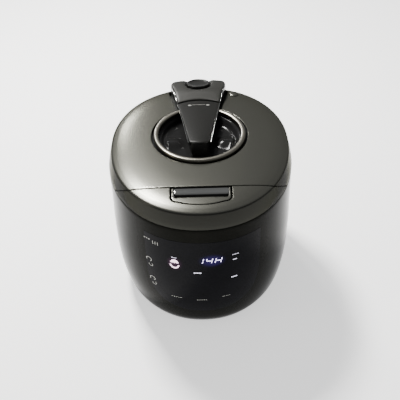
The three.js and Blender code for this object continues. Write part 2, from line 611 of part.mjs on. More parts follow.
outerBody();
baseAndFeet();
frontFascia();
topCollar();
cavityLiner();
innerPot();
heater();
fan();
electronics();
controlPanel();
lidButton();
latch();
lidCover();
capWell();
lidBowlAndRing();
lidInnerPlate();
pressureCover();
hinge();
handle();
lockRing();
steamCap();
smallLidPieces();
dewCollector();

export default cooker;
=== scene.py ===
# Electric pressure cooker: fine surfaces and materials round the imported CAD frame.
import math

import bmesh
import bpy
from mathutils import Matrix, Vector


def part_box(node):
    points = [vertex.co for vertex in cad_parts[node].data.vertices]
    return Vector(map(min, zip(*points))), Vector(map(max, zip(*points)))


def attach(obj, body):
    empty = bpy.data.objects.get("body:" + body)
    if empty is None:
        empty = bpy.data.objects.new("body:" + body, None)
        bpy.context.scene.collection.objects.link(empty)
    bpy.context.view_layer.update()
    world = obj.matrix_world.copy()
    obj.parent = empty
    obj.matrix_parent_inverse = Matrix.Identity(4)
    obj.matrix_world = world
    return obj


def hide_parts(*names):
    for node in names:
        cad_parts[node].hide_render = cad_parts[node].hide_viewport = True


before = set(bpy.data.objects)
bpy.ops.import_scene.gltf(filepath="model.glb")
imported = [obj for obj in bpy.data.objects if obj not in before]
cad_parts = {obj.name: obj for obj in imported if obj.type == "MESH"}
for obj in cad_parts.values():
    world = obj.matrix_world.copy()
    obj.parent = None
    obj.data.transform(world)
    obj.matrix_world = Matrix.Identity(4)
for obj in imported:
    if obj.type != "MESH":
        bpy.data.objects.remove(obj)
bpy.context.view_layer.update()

MM = 0.001
TAU = 2 * math.pi


def span(node):
    """A node's lowest and highest corner in millimetres."""
    low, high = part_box(node)
    return low / MM, high / MM


# ---------- driving dimensions, in millimetres, from the frame ----------
COVER_LOW, COVER_HIGH = span("lid_cover")
FASCIA_LOW = span("front_fascia")[0]
RING_LOW, RING_HIGH = span("lid_ring")
POT_LOW, POT_HIGH = span("inner_pot")
BODY_HIGH = span("outer_body")[1]

HALF = COVER_HIGH.x                       # half width of the plan
FRONT = -FASCIA_LOW.y                     # axis to the front wall
BACK = COVER_HIGH.y                       # axis to the rear wall
PLAN_POWER = 2.12
AXIS_Y = (RING_LOW.y + RING_HIGH.y) / 2   # centre of pot, ring and handle
RIM_Z = BODY_HIGH.z
LID_Z = COVER_LOW.z
DOME_Z = COVER_HIGH.z
RING_R = RING_HIGH.x
CHORD_Y, CHORD_SAG, CHORD_HALF = -104.5, 2.5, 106.0
CREASE_Z, SPLIT_LEAN = 227.0, 1.14         # below the crease the split leans to the rear
RING_HOLE = 69.2                          # hole in the lid round the ring
BOWL_Z = span("lid_bowl")[0].z + 2.5
WELL_Z = span("cap_well")[1].z
NOTCH_Z = 169.4
HANDLE_TOP, HANDLE_UNDER, HANDLE_FRONT = 239.9, 236.8, -20.0
HANDLE_R = 76.0                           # pivot to the handle's rear edge
CAP_R = 77.0                              # pivot to the steam cap's front edge
CREST_Y, CREST_Z, CAP_FALL = 108.0, 245.4, 0.221
PANEL_TOP, PANEL_BOTTOM = 181.0, 43.0
HANDLE_STRIP = (-18.8, 77)                # y where the handle's edge lines start and end
CAP_STRIP = (80.2, 121)                   # the same for the steam cap
FLOOR_HALF = 4000

# camera: what it looks at and from how far, in metres, and its angles in degrees
CAMERA_TARGET, CAMERA_DISTANCE = (0, 0, 0.130), 1.1
CAMERA_ELEVATION, CAMERA_ROLL = 40.58, -1.62
CAMERA_LENS, CAMERA_SHIFT = 65.45, (-0.003, -0.0187)
BRIGHT_SIDE = (-0.62, 0.45, 0.64)         # the studio is brightest towards the left rear


# ---------- camera and light ----------
def make_camera():
    target = Vector(CAMERA_TARGET)
    elevation = math.radians(CAMERA_ELEVATION)
    roll = math.radians(CAMERA_ROLL)
    away = Vector((0, -math.cos(elevation), math.sin(elevation)))
    data = bpy.data.cameras.new("camera")
    data.lens = CAMERA_LENS
    data.sensor_width = 36
    data.shift_x, data.shift_y = CAMERA_SHIFT
    cam = bpy.data.objects.new("camera", data)
    turn = (-away).to_track_quat("-Z", "Y").to_matrix().to_4x4() @ Matrix.Rotation(roll, 4, "Z")
    cam.matrix_world = Matrix.Translation(target + away * CAMERA_DISTANCE) @ turn
    bpy.context.scene.collection.objects.link(cam)
    bpy.context.scene.camera = cam


def area_light(name, place, aim, size, watts, color=(1, 1, 1)):
    data = bpy.data.lights.new(name, "AREA")
    data.shape = "RECTANGLE"
    data.size, data.size_y = size
    data.energy = watts
    data.color = color
    lamp = bpy.data.objects.new(name, data)
    lamp.location = place
    lamp.rotation_euler = (Vector(aim) - Vector(place)).to_track_quat("-Z", "Y").to_euler()
    bpy.context.scene.collection.objects.link(lamp)


def make_lights():
    world = bpy.data.worlds.new("studio")
    world.use_nodes = True
    nodes, links = world.node_tree.nodes, world.node_tree.links
    background = nodes["Background"]
    background.inputs["Color"].default_value = (0.95, 0.97, 1.0, 1)
    direction = nodes.new("ShaderNodeTexCoord")
    side = nodes.new("ShaderNodeVectorMath")
    side.operation = "DOT_PRODUCT"
    side.inputs[1].default_value = BRIGHT_SIDE
    links.new(direction.outputs["Generated"], side.inputs[0])
    level = nodes.new("ShaderNodeMapRange")
    level.interpolation_type = "SMOOTHSTEP"
    level.inputs["From Min"].default_value = -0.2
    level.inputs["From Max"].default_value = 1.0
    level.inputs["To Min"].default_value = 0.40
    level.inputs["To Max"].default_value = 0.56
    links.new(side.outputs["Value"], level.inputs["Value"])
    links.new(level.outputs["Result"], background.inputs["Strength"])
    bpy.context.scene.world = world
    area_light("softbox", (-0.40, 0.66, 1.33), (-0.05, -0.05, 0.2), (0.24, 0.24), 62, (1, 0.985, 0.96))
    area_light("rear_lamp", (-0.42, 1.22, 0.91), (-0.1, 0.04, 0.23), (0.14, 0.14), 8, (1, 0.99, 0.97))
    area_light("left_card", (-1.3, -0.5, 0.5), (0, 0, 0.12), (0.4, 0.8), 3.5, (1, 0.93, 0.78))


# ---------- materials ----------
def material(name, color, rough, metal=0.0, grain=0.0, grain_scale=400.0, tint=0.08, mottle=40.0,
             rough_swing=0.06, brushed=False, **sockets):
    """Procedural finish: mottled colour, uneven roughness and a fine relief, all in object space.
    A brushed finish has fine lines round the pot axis."""
    mat = bpy.data.materials.new(name)
    mat.use_nodes = True
    nodes, links = mat.node_tree.nodes, mat.node_tree.links
    shader = nodes["Principled BSDF"]
    shader.inputs["Metallic"].default_value = metal
    for key, value in sockets.items():
        shader.inputs[key.replace("_", " ")].default_value = value
    coords = nodes.new("ShaderNodeTexCoord").outputs["Object"]

    def noise(vector, scale, detail=3.0):
        tex = nodes.new("ShaderNodeTexNoise")
        tex.inputs["Scale"].default_value = scale
        tex.inputs["Detail"].default_value = detail
        links.new(vector, tex.inputs["Vector"])
        return tex.outputs["Fac"]

    def ramp(value, low, high):
        node = nodes.new("ShaderNodeMapRange")
        node.inputs["From Min"].default_value = 0.3
        node.inputs["From Max"].default_value = 0.7
        node.inputs["To Min"].default_value = low
        node.inputs["To Max"].default_value = high
        links.new(value, node.inputs["Value"])
        return node.outputs["Result"]

    mix = nodes.new("ShaderNodeMix")
    mix.data_type = "RGBA"
    dark = tuple(c * (1 - tint) for c in color)
    light = tuple(min(1, c * (1 + tint)) for c in color)
    mix.inputs["A"].default_value = (*dark, 1)
    mix.inputs["B"].default_value = (*light, 1)
    links.new(noise(coords, mottle), mix.inputs["Factor"])
    links.new(mix.outputs["Result"], shader.inputs["Base Color"])

    fine = brush_vector(nodes, links, coords) if brushed else coords
    fine_noise = noise(fine, grain_scale, 2.0)
    links.new(ramp(fine_noise, rough - rough_swing, rough + rough_swing), shader.inputs["Roughness"])
    if grain:
        bump = nodes.new("ShaderNodeBump")
        bump.inputs["Strength"].default_value = grain
        bump.inputs["Distance"].default_value = 0.0002
        links.new(fine_noise, bump.inputs["Height"])
        links.new(bump.outputs["Normal"], shader.inputs["Normal"])
    return mat


def brush_vector(nodes, links, coords):
    """Coordinates of radius and height only, so that noise turns into fine lines round the axis."""
    shifted = nodes.new("ShaderNodeVectorMath")
    shifted.operation = "MULTIPLY_ADD"
    shifted.inputs[1].default_value = (1, 1, 0)
    shifted.inputs[2].default_value = (0, -AXIS_Y * MM, 0)
    links.new(coords, shifted.inputs[0])
    length = nodes.new("ShaderNodeVectorMath")
    length.operation = "LENGTH"
    links.new(shifted.outputs["Vector"], length.inputs[0])
    split = nodes.new("ShaderNodeSeparateXYZ")
    links.new(coords, split.inputs["Vector"])
    join = nodes.new("ShaderNodeCombineXYZ")
    links.new(length.outputs["Value"], join.inputs["X"])
    links.new(split.outputs["Z"], join.inputs["Z"])
    return join.outputs["Vector"]


def glow(name, color, strength):
    mat = material(name, color, 0.4, tint=0.05)
    shader = mat.node_tree.nodes["Principled BSDF"]
    shader.inputs["Emission Color"].default_value = (*color, 1)
    shader.inputs["Emission Strength"].default_value = strength
    return mat


LACQUER = material("satin_grey_lacquer", (0.062, 0.062, 0.054), 0.25, 0.8, grain=0.03, grain_scale=900,
                   tint=0.03, rough_swing=0.02,
                   Specular_Tint=(0.35, 0.35, 0.31, 1))


def paint_shade_below(mat, z, share):
    """Multiplies the colour by share below height z, with a short blend. This is painted shade: it stands in
    for the dark surroundings that the vertical side band reflects.
    """
    nodes, links = mat.node_tree.nodes, mat.node_tree.links
    shader = nodes["Principled BSDF"]
    color = shader.inputs["Base Color"].links[0].from_socket
    split = nodes.new("ShaderNodeSeparateXYZ")
    links.new(nodes.new("ShaderNodeTexCoord").outputs["Object"], split.inputs["Vector"])
    level = nodes.new("ShaderNodeMapRange")
    level.inputs["From Min"].default_value = (z - 0.6) * MM
    level.inputs["From Max"].default_value = (z + 0.3) * MM
    level.inputs["To Min"].default_value = share
    level.inputs["To Max"].default_value = 1.0
    links.new(split.outputs["Z"], level.inputs["Value"])
    scaled = nodes.new("ShaderNodeVectorMath")
    scaled.operation = "SCALE"
    links.new(color, scaled.inputs[0])
    links.new(level.outputs["Result"], scaled.inputs["Scale"])
    links.new(scaled.outputs["Vector"], shader.inputs["Base Color"])


# painted shade: every part in this lacquer is darker below the crease height, standing in for the dark room
# that the side band reflects
paint_shade_below(LACQUER, CREASE_Z, 0.3)
BLACK = material("gloss_black", (0.006, 0.006, 0.005), 0.13, 0.0, grain=0.02, grain_scale=300, tint=0.3,
                 rough_swing=0.03, Specular_IOR_Level=0.02, Specular_Tint=(0.5, 0.5, 0.44, 1))
PANEL = material("panel_glass", (0.004, 0.004, 0.005), 0.07, 0.0, grain=0.01, grain_scale=120, tint=0.4,
                 rough_swing=0.02, Specular_IOR_Level=0.03)
BOWL = material("bowl_black", (0.008, 0.008, 0.008), 0.14, 0.0, grain=0.02, grain_scale=500, tint=0.3,
                rough_swing=0.03, Specular_IOR_Level=0.05)
SATIN = material("satin_dark_grey", (0.014, 0.014, 0.0125), 0.36, 0.05, grain=0.08, grain_scale=1400,
                 tint=0.1, Specular_IOR_Level=0.1)
HANDLE = material("satin_handle", (0.007, 0.007, 0.0065), 0.34, 0.0, grain=0.08, grain_scale=1400,
                  tint=0.1, Specular_IOR_Level=0.06)
DARK = material("moulded_dark", (0.02, 0.02, 0.02), 0.5, 0.0, grain=0.25, grain_scale=1800, tint=0.15)
SILVER = material("brushed_champagne", (0.15, 0.142, 0.12), 0.27, 1.0, grain=0.2, grain_scale=2500,
                  tint=0.06, brushed=True)
CHROME = material("chrome", (0.22, 0.22, 0.21), 0.08, 1.0, grain=0.01, tint=0.04, rough_swing=0.03)
STEEL = material("steel", (0.52, 0.52, 0.51), 0.3, 1.0, grain=0.12, grain_scale=1500, tint=0.07,
                 brushed=True)
PLAIN_STEEL = material("plain_steel", (0.5, 0.5, 0.5), 0.35, 1.0, grain=0.1, grain_scale=900, tint=0.1)
ALUMINIUM = material("aluminium", (0.62, 0.62, 0.62), 0.38, 1.0, grain=0.1, grain_scale=1200, tint=0.06)
POT = material("pot_coating", (0.11, 0.105, 0.10), 0.33, 0.5, grain=0.2, grain_scale=2200, tint=0.25,
               mottle=900)
RUBBER = material("rubber", (0.025, 0.025, 0.025), 0.8, 0.0, grain=0.35, grain_scale=1500, tint=0.2)
SILICONE = material("silicone", (0.62, 0.60, 0.55), 0.5, 0.0, grain=0.08, grain_scale=800, tint=0.04,
                    Subsurface_Weight=0.15)
COPPER = material("copper_winding", (0.55, 0.22, 0.10), 0.35, 1.0, grain=0.4, grain_scale=3500,
                  tint=0.2, brushed=True)
FERRITE = material("ferrite", (0.05, 0.05, 0.055), 0.75, 0.0, grain=0.3, grain_scale=2500, tint=0.2)
BOARD = material("circuit_board", (0.02, 0.10, 0.045), 0.45, 0.0, grain=0.15, grain_scale=700, tint=0.3)
CARRIER = material("pale_resin", (0.66, 0.63, 0.55), 0.55, 0.0, grain=0.12, grain_scale=900, tint=0.05)
PRINT = material("printed_legend", (0.33, 0.33, 0.30), 0.5, 0.0, tint=0.1)
FAINT = material("engraved_mark", (0.12, 0.12, 0.11), 0.5, 0.0, tint=0.1)
WHITE_GLOW = glow("white_glow", (0.80, 0.78, 0.92), 1.6)
DIGIT_GLOW = glow("digit_glow", (0.72, 0.66, 1.0), 3.2)
POT_GLOW = glow("icon_glow", (1.0, 0.72, 0.90), 2.2)


def light_spill(mat, spots):
    """Soft coloured light on the glass round the lit marks.
    Each spot is x, z, half width, half height, colour."""
    nodes, links = mat.node_tree.nodes, mat.node_tree.links
    coords = nodes.new("ShaderNodeTexCoord").outputs["Object"]
    total = None
    for x, z, half_w, half_h, color in spots:
        mapping = nodes.new("ShaderNodeMapping")
        mapping.inputs["Location"].default_value = (-x / half_w, 0, -z / half_h)
        mapping.inputs["Scale"].default_value = (1 / (half_w * MM), 0, 1 / (half_h * MM))
        links.new(coords, mapping.inputs["Vector"])
        length = nodes.new("ShaderNodeVectorMath")
        length.operation = "LENGTH"
        links.new(mapping.outputs["Vector"], length.inputs[0])
        fall = nodes.new("ShaderNodeMapRange")
        fall.interpolation_type = "SMOOTHERSTEP"
        fall.inputs["From Min"].default_value = 0.2
        fall.inputs["From Max"].default_value = 1.0
        fall.inputs["To Min"].default_value = 1.0
        fall.inputs["To Max"].default_value = 0.0
        links.new(length.outputs["Value"], fall.inputs["Value"])
        tint = nodes.new("ShaderNodeVectorMath")
        tint.operation = "SCALE"
        tint.inputs[0].default_value = color
        links.new(fall.outputs["Result"], tint.inputs["Scale"])
        if total is None:
            total = tint.outputs["Vector"]
        else:
            both = nodes.new("ShaderNodeVectorMath")
            links.new(total, both.inputs[0])
            links.new(tint.outputs["Vector"], both.inputs[1])
            total = both.outputs["Vector"]
    shader = nodes["Principled BSDF"]
    links.new(total, shader.inputs["Emission Color"])
    shader.inputs["Emission Strength"].default_value = 1.0


light_spill(PANEL,
            [(12, 147.5, 22, 14, (0.018, 0.009, 0.085)), (-38.6, 139.5, 13, 15, (0.045, 0.016, 0.04))])


# ---------- mesh helpers ----------
def piece(name, mesh, mat, body, replaces=(), sharp=32):
    obj = bpy.data.objects.new(name, mesh)
    bpy.context.scene.collection.objects.link(obj)
    mesh.materials.clear()
    mesh.materials.append(mat)
    for poly in mesh.polygons:
        poly.use_smooth = True
    mesh.set_sharp_from_angle(angle=math.radians(sharp))
    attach(obj, body)
    if replaces:
        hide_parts(*replaces)
    return obj


def to_mesh(name, bm):
    bmesh.ops.recalc_face_normals(bm, faces=bm.faces)
    mesh = bpy.data.meshes.new(name)
    bm.to_mesh(mesh)
    bm.free()
    return mesh


def mesh_from(name, verts, faces):
    mesh = bpy.data.meshes.new(name)
    mesh.from_pydata([(x * MM, y * MM, z * MM) for x, y, z in verts], [], faces)
    bm = bmesh.new()
    bm.from_mesh(mesh)
    bpy.data.meshes.remove(mesh)
    bmesh.ops.remove_doubles(bm, verts=bm.verts, dist=1e-6)
    bmesh.ops.triangulate(bm, faces=[f for f in bm.faces if len(f.verts) > 4])
    return to_mesh(name, bm)


def loops_mesh(name, loops, closed=False, caps=True):
    """Skin through loops of equal length. closed joins the last loop to the first."""
    n = len(loops[0])
    verts = [v for loop in loops for v in loop]
    faces = []
    for k in range(len(loops) if closed else len(loops) - 1):
        a, b = k * n, (k + 1) % len(loops) * n
        faces += [(a + i, a + (i + 1) % n, b + (i + 1) % n, b + i) for i in range(n)]
    if caps and not closed:
        faces.append(tuple(range(n - 1, -1, -1)))
        faces.append(tuple(range((len(loops) - 1) * n, len(loops) * n)))
    return mesh_from(name, verts, faces)


def bend(value):
    return math.copysign(abs(value) ** (2 / PLAN_POWER), value)


def plan_point(angle, inset, z):
    depth = (FRONT if math.sin(angle) < 0 else BACK) - inset
    return ((HALF - inset) * bend(math.cos(angle)), depth * bend(math.sin(angle)), z)


def plan_loft(name, sections, steps=224, closed=True):
    loops = [[plan_point(TAU * i / steps, inset, z) for i in range(steps)] for z, inset in sections]
    return loops_mesh(name, loops, closed)


def plan_y(x, inset=0.0, front=True):
    """y of the plan's front or rear outline at x."""
    depth = (FRONT if front else BACK) - inset
    y = depth * max(0.0, 1 - abs(x / (HALF - inset)) ** PLAN_POWER) ** (1 / PLAN_POWER)
    return -y if front else y


def lathe(name, profile, steps=128, x=0.0, y=None):
    """Closed profile of (radius, z) turned round a vertical axis; radius 0 closes on the axis."""
    cy = AXIS_Y if y is None else y
    loops = [[(x + r * math.cos(TAU * i / steps), cy + r * math.sin(TAU * i / steps), z)
              for i in range(steps)] for r, z in profile]
    on_axis = profile[0][0] == 0 and profile[-1][0] == 0
    return loops_mesh(name, loops, closed=not on_axis, caps=False)


def smooth_curve(points, per=6):
    """Catmull-Rom curve through a few points of any dimension."""
    ends = [points[0]] + list(points) + [points[-1]]
    out = []
    for k in range(1, len(ends) - 2):
        p0, p1, p2, p3 = ends[k - 1:k + 3]
        for i in range(per):
            t = i / per
            out.append(tuple(
                0.5 * (2 * b + (c - a) * t + (2 * a - 5 * b + 4 * c - d) * t * t
                       + (3 * b - a - 3 * c + d) * t ** 3)
                for a, b, c, d in zip(p0, p1, p2, p3)))
    return out + [tuple(points[-1])]


def prism(name, outline, z0, z1):
    loops = [[(x, y, z) for x, y in outline] for z in (z0, z1)]
    return loops_mesh(name, loops)


def box_mesh(name, x0, x1, y0, y1, z0, z1):
    return prism(name, [(x0, y0), (x1, y0), (x1, y1), (x0, y1)], z0, z1)


def arc(cx, cy, r, a0, a1, steps=10):
    return [(cx + r * math.cos(math.radians(a0 + (a1 - a0) * i / steps)),
             cy + r * math.sin(math.radians(a0 + (a1 - a0) * i / steps))) for i in range(steps + 1)]


def rounded_rect(x0, x1, y0, y1, r, steps=6):
    return (arc(x1 - r, y0 + r, r, -90, 0, steps) + arc(x1 - r, y1 - r, r, 0, 90, steps)
            + arc(x0 + r, y1 - r, r, 90, 180, steps) + arc(x0 + r, y0 + r, r, 180, 270, steps))


def carve(mesh, cutters, operation="DIFFERENCE", bevel=0.0, angle=35):
    """Cuts or joins meshes, then rounds the new edges. Returns the finished mesh."""
    obj = bpy.data.objects.new("work", mesh)
    bpy.context.scene.collection.objects.link(obj)
    helpers = []
    for cutter in cutters:
        other = bpy.data.objects.new("cutter", cutter)
        bpy.context.scene.collection.objects.link(other)
        helpers.append(other)
        mod = obj.modifiers.new("cut", "BOOLEAN")
        mod.operation = operation
        mod.solver = "MANIFOLD"
        mod.object = other
    if bevel:
        mod = obj.modifiers.new("round", "BEVEL")
        mod.width = bevel * MM
        mod.segments = 3
        mod.limit_method = "ANGLE"
        mod.angle_limit = math.radians(angle)
        mod.use_clamp_overlap = False
        mod.harden_normals = False
    depsgraph = bpy.context.evaluated_depsgraph_get()
    done = bpy.data.meshes.new_from_object(obj.evaluated_get(depsgraph))
    for other in helpers + [obj]:
        bpy.data.objects.remove(other)
    return done


# ---------- shared outlines ----------
def chord_y(x, offset=0.0):
    return CHORD_Y - CHORD_SAG * (1 - (x / CHORD_HALF) ** 2) + offset


def chord_region(front, offset, lean=0.0):
    """Everything in front of, or behind, the split between fascia and lid."""
    side, far = HALF + 20, -FRONT - 120 if front else BACK + 20
    xs = [-side + 2 * side * i / 60 for i in range(61)]

    def level(z):
        push = lean * max(0.0, CREASE_Z - z)
        return ([(x, chord_y(x, offset) + push, z) for x in xs]
                + [(side, far + push, z), (-side, far + push, z)])
    return loops_mesh("chord_region", [level(z) for z in (167, CREASE_Z, 287)])


def slot_outline(grow, y_back=-92.0):
    """U of the lid button's slot: straight sides, round corners, bowed front. grow moves it outwards."""
    half, corner, front, bow, shoulder = 40.8 + grow, 32.0 + grow, -141.2 - grow, 6.0, -125.0
    turn = [(corner + (half - corner) * math.cos(a), shoulder + (front + bow - shoulder) * math.sin(a))
            for a in [math.radians(10 * k) for k in range(10)]]
    middle = [(x, front + bow * (x / corner) ** 2) for x in [corner * (1 - 2 * i / 24) for i in range(1, 24)]]
    side = [(half, y_back)] + turn
    return side + middle + [(-x, y) for x, y in reversed(side)]


def body_sections():
    return smooth_curve([(4.2, 21.5), (6.5, 17.8), (11, 13.6), (26, 6.7), (60, 1.2), (105, -0.7), (160, 0),
                         (198, 0.05)], 7)


def body_inset(z):
    """Inset of the outer body wall at height z."""
    rows = body_sections()
    for (z0, i0), (z1, i1) in zip(rows, rows[1:]):
        if z0 <= z <= z1:
            return i0 + (i1 - i0) * (z - z0) / (z1 - z0)
    return 0.0


DOME = ([(LID_Z + 0.1, 1.2), (LID_Z, 0.7), (LID_Z + 0.25, 0.2), (LID_Z + 1, 0.05), (210, 1.2), (218, 3.0),
         (224, 4.6), (226.0, 5.1), (226.9, 5.7), (227.5, 6.7), (227.95, 8.2)]
        + smooth_curve([(228.6, 11.0), (229.6, 16), (230.9, 27), (231.8, 43), (DOME_Z - 0.1, 60),
                        (DOME_Z, 80), (DOME_Z, 112)], 5))


def dome_shell(name):
    """Grey top shell: outer dome, thin wall and inner side, closed at the crown."""
    inner = [(z - 2.6, inset + 2.6) for z, inset in reversed(DOME) if z > LID_Z + 5] + [(LID_Z + 0.1, 2.8)]
    return plan_loft(name, DOME + inner)


# ---------- body ----------
def outer_body():
    outer = body_sections()
    rim = [(201.2, 0.1), (202.2, 0.4), (RIM_Z, 1.2), (RIM_Z, 2.4), (201.8, 2.9)]
    inner = [(z + 0.5, inset + 3) for z, inset in reversed(outer)]
    mesh = plan_loft("body", outer + rim + inner)
    cutters = [box_mesh("notch", -46.8, 46.8, 100, 170, NOTCH_Z, 215),
               box_mesh("step", -72, 72, 100, 170, 198, 215),
               box_mesh("inlet", -15, 15, 100, 160, 28, 52)]
    for side in (-1, 1):
        for i in range(4):
            x = side * (36 + 10 * i)
            cutters.append(box_mesh("vent", x - 1.8, x + 1.8, 90, 160, 62, 98))
    mesh = carve(mesh, cutters, bevel=0.5, angle=50)
    piece("body_shell", mesh, BLACK, "root", ["outer_body"])


def panel_edge(side, z):
    """x of the panel's side edge at height z."""
    top, bottom = PANEL_TOP, PANEL_BOTTOM + 1
    t = (z - bottom) / (top - bottom)
    return side * (78 * (1 - (1 - t) ** 5.5) ** 0.42 if t < 1 else 78)


def front_patch(name, rows, offset, thick):
    """Closed skin patch on the front wall. rows are lists of (x, z)."""
    def on_wall(x, z, lift):
        inset = body_inset(z) - lift
        return (x, plan_y(x, inset), z)
    top = [[on_wall(x, z, offset) for x, z in row] for row in rows]
    under = [[on_wall(x, z, offset - thick) for x, z in row] for row in rows]
    n, m = len(rows), len(rows[0])
    verts = [v for row in top for v in row] + [v for row in under for v in row]
    base = n * m
    faces = []
    for i in range(n - 1):
        for j in range(m - 1):
            a = i * m + j
            faces.append((a, a + 1, a + m + 1, a + m))
            faces.append((base + a, base + a + m, base + a + m + 1, base + a + 1))
    edge = ([j for j in range(m)] + [i * m + m - 1 for i in range(1, n)]
            + [(n - 1) * m + j for j in range(m - 2, -1, -1)] + [i * m for i in range(n - 2, 0, -1)])
    for a, b in zip(edge, edge[1:] + edge[:1]):
        faces.append((b, a, base + a, base + b))
    return mesh_from(name, verts, faces)


def control_panel():
    zs = [PANEL_BOTTOM + 1 + (PANEL_TOP - PANEL_BOTTOM - 1) * (1 - math.cos(math.pi * i / 56)) / 2
          for i in range(57)]
    rows = []
    for z in zs:
        half = max(panel_edge(1, z), 4)
        rows.append([(half * (2 * j / 60 - 1), z) for j in range(61)])
    mesh = front_patch("panel", rows, 0.25, 1.2)
    piece("panel_glass", mesh, PANEL, "root", ["control_panel"], sharp=50)


def panel_mark(name, outline, mat, lift=0.32):
    """Thin raised mark on the panel. outline is a ring of (x, z) points."""
    top = [(x, plan_y(x, body_inset(z) - lift), z) for x, z in outline]
    low = [(x, plan_y(x, body_inset(z) - 0.20), z) for x, z in outline]
    piece(name, loops_mesh(name, [low, top]), mat, "root")


def bar(x, z, w, h, slant=0.0, r=0.3):
    return [(px + slant * (pz - z), pz) for px, pz in
            rounded_rect(x - w / 2, x + w / 2, z - h / 2, z + h / 2, min(r, w / 2.1, h / 2.1), 3)]


def ring_marks(name, cx, cz, r0, r1, a0, a1, mat, steps=20, squash=1.0):
    outer = [(x, cz + (z - cz) * squash) for x, z in arc(cx, cz, r1, a0, a1, steps)]
    inner = [(x, cz + (z - cz) * squash) for x, z in arc(cx, cz, r0, a1, a0, steps)]
    panel_mark(name, outer + inner, mat)


SEGMENTS = {"1": "bc", "4": "bcfg", "H": "bcefg"}


def digit(name, char, cx, cz, w=7.6, h=9.2, t=1.1):
    """Seven-segment figure with a slant."""
    places = {"b": (w / 2, h / 4, t, h / 2 - t), "c": (w / 2, -h / 4, t, h / 2 - t),
              "f": (-w / 2, h / 4, t, h / 2 - t), "e": (-w / 2, -h / 4, t, h / 2 - t),
              "g": (0, 0, w - t, t)}
    for seg in SEGMENTS[char]:
        dx, dz, sw, sh = places[seg]
        slant = 0.24
        outline = [(x + slant * (z - cz), z) for x, z in bar(cx + dx, cz + dz, sw, sh, 0, 0.5)]
        panel_mark(f"{name}_{seg}", outline, DIGIT_GLOW)


def panel_graphics():
    for i, (char, x) in enumerate((("1", -4.0), ("4", 8.2), ("H", 20.6))):
        digit(f"digit_{i + 1}", char, x, 147.8)
    ring_marks("icon_lid", -38.6, 140.5, 2.4, 5.4, 5, 175, POT_GLOW, squash=1.2)
    ring_marks("icon_knob", -38.6, 142.0, 0.3, 1.5, 0, 350, POT_GLOW)
    ring_marks("icon_pot", -38.6, 138.6, 4.8, 6.6, 190, 350, POT_GLOW, squash=1.2)
    dashes = [("label_a", -39, 150.4, 7, 0.8, WHITE_GLOW), ("label_b", -8, 125.6, 10.5, 1.7, WHITE_GLOW),
              ("label_c", 43.4, 152.5, 9, 0.8, WHITE_GLOW), ("label_d", 42.6, 143.5, 5.5, 1.6, WHITE_GLOW),
              ("label_e", 42, 110.5, 8.5, 1.6, WHITE_GLOW), ("foot_mark_a", -38.5, 72, 15, 0.9, PRINT),
              ("foot_mark_b", -3, 70, 15, 0.9, PRINT), ("foot_mark_c", 31, 74, 12, 0.9, PRINT)]
    for name, x, z, w, h, mat in dashes:
        count = 5
        for k in range(count):
            step = w / count
            panel_mark(f"{name}_{k + 1}", bar(x - w / 2 + step * (k + 0.5), z, step * 0.66, h), mat)
    for k in range(3):
        panel_mark(f"scale_{k + 1}", bar(-66.5 + 3.2 * k, 167, 0.8, 5.5), PRINT)
    for k in range(3):
        panel_mark(f"scale_label_{k + 1}", bar(-77.5 + 3 * k, 170, 2.0, 1.4), PRINT)
    for k, (x, z) in enumerate(((-74, 128), (-71, 92))):
        ring_marks(f"touch_{k + 1}_a", x, z + 3.5, 3.0, 3.8, -60, 220, PRINT)
        ring_marks(f"touch_{k + 1}_b", x + 2.2, z - 5.5, 2.2, 2.9, 160, 420, PRINT)


def base_and_feet():
    sections = [(4, 26.4), (4, 26.0), (6.8, 24.4), (7.4, 24.6), (7.4, 26)]
    mesh = plan_loft("base", sections, closed=False)
    fan_low, fan_high = span("fan_frame")
    cx, cy = (fan_low.x + fan_high.x) / 2, (fan_low.y + fan_high.y) / 2
    cutters = []
    for k in range(-3, 4):
        half = math.sqrt(28 ** 2 - (7 * k) ** 2)
        cutters.append(prism("slot", rounded_rect(
            cx - half, cx + half, cy + 7 * k - 1.6, cy + 7 * k + 1.6, 1.5),
                             2, 10))
    mesh = carve(mesh, cutters, bevel=0.3, angle=50)
    piece("base_plate", mesh, DARK, "root", ["base_cover"])
    for a in ("front", "rear"):
        for b in ("left", "right"):
            low, high = span(f"foot_{a}_{b}")
            cx, cy = (low.x + high.x) / 2, (low.y + high.y) / 2
            profile = [(0, 0.5), (7.5, 0.5), (8, 0), (10, 0), (11.4, 0.5), (11.9, 1.6), (12, 3),
                       (11.4, high.z),
                       (0, high.z)]
            piece(f"foot_pad_{a}_{b}", lathe("foot", profile, 48, cx, cy), RUBBER, "root",
                  [f"foot_{a}_{b}"])


# ---------- lid, fascia and button ----------
def fascia():
    mesh = dome_shell("fascia")
    mesh = carve(mesh, [chord_region(True, -0.6, SPLIT_LEAN)], "INTERSECT")
    mesh = carve(mesh, [prism("slot", slot_outline(0), 190, 260)], bevel=0.45)
    piece("fascia_shell", mesh, LACQUER, "root", ["front_fascia"])


def lid_shell():
    mesh = carve(dome_shell("lid"), [chord_region(False, 0.6, SPLIT_LEAN)], "INTERSECT")
    hole = lathe("hole", [(0, 215), (RING_HOLE, 215), (RING_HOLE, 260), (0, 260)], 160)
    channel = prism("channel", channel_outline(0), 215, 260)
    mesh = carve(mesh, [hole, channel], bevel=0.5)
    piece("lid_shell", mesh, LACQUER, "lid", ["lid_cover"])


def channel_outline(grow):
    """Recess round the steam cap: straight sides that widen to the rear."""
    rear = arc(39.2 + grow, 121.5, 6.5, 0, 90, 6)
    right = [(32 + grow, 62), *rear]
    return [(-x, y) for x, y in reversed(right)] + right


